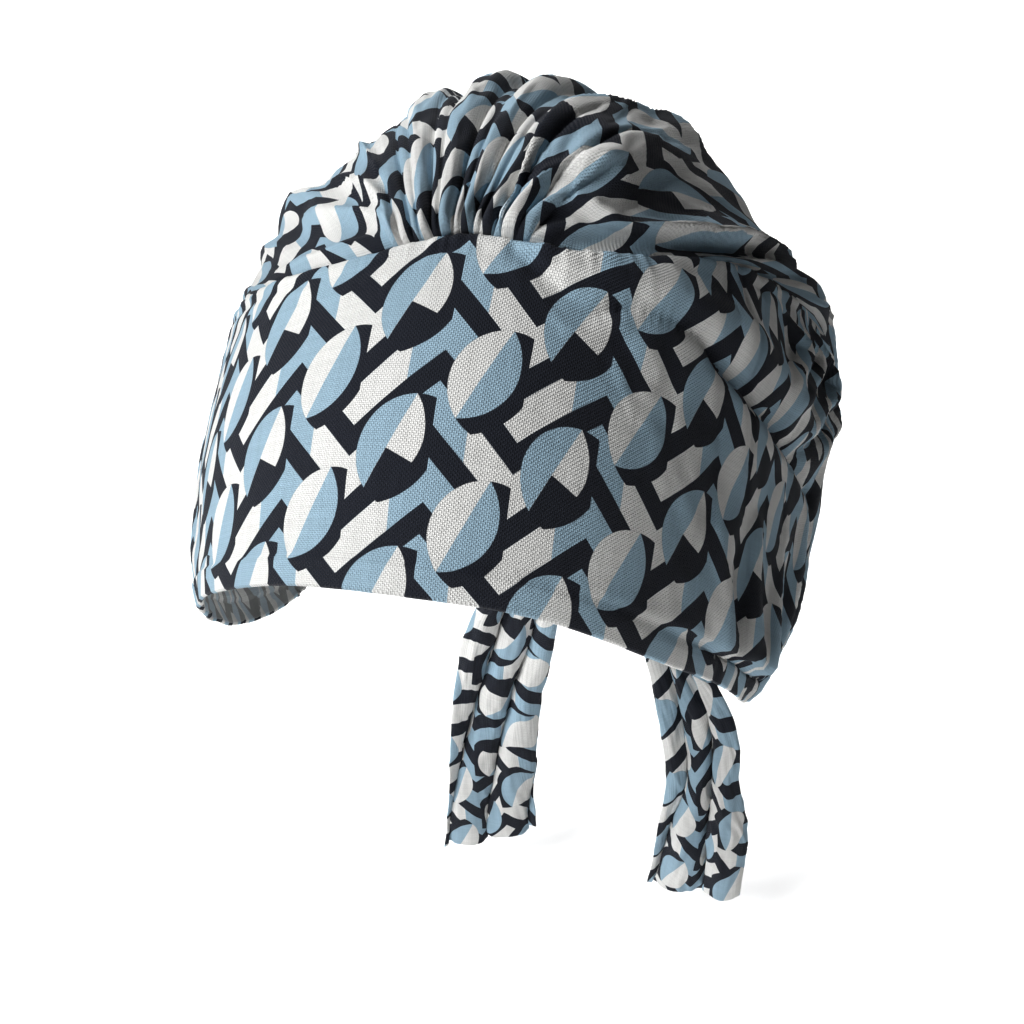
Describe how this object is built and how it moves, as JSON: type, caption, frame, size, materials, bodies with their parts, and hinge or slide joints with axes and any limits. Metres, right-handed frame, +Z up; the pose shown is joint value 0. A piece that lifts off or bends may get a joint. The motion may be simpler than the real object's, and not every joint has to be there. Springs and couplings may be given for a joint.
{
  "type": "ready-tied turban",
  "caption": "Soft cloth turban with a wide smooth brow band, a crown gathered into it over the brow, an elastic nape casing and two tied tails.",
  "frame": {"origin": "the middle of the head opening, level with the ears: where the centre of the wearer's head sits", "axes": "+Z up, the brow faces -Y, +X towards the wearer's left"},
  "size_m": [0.1621, 0.2007, 0.3553],
  "materials": {
    "printed_cloth": "matt plain-weave cloth printed in navy, light blue and off-white"
  },
  "bodies": {
    "root": {"brow_band": "printed_cloth", "crown": "printed_cloth", "nape_casing": "printed_cloth", "tie_knot": "printed_cloth", "tie_tail_left": "printed_cloth", "tie_tail_right": "printed_cloth"}
  },
  "joints": []
}
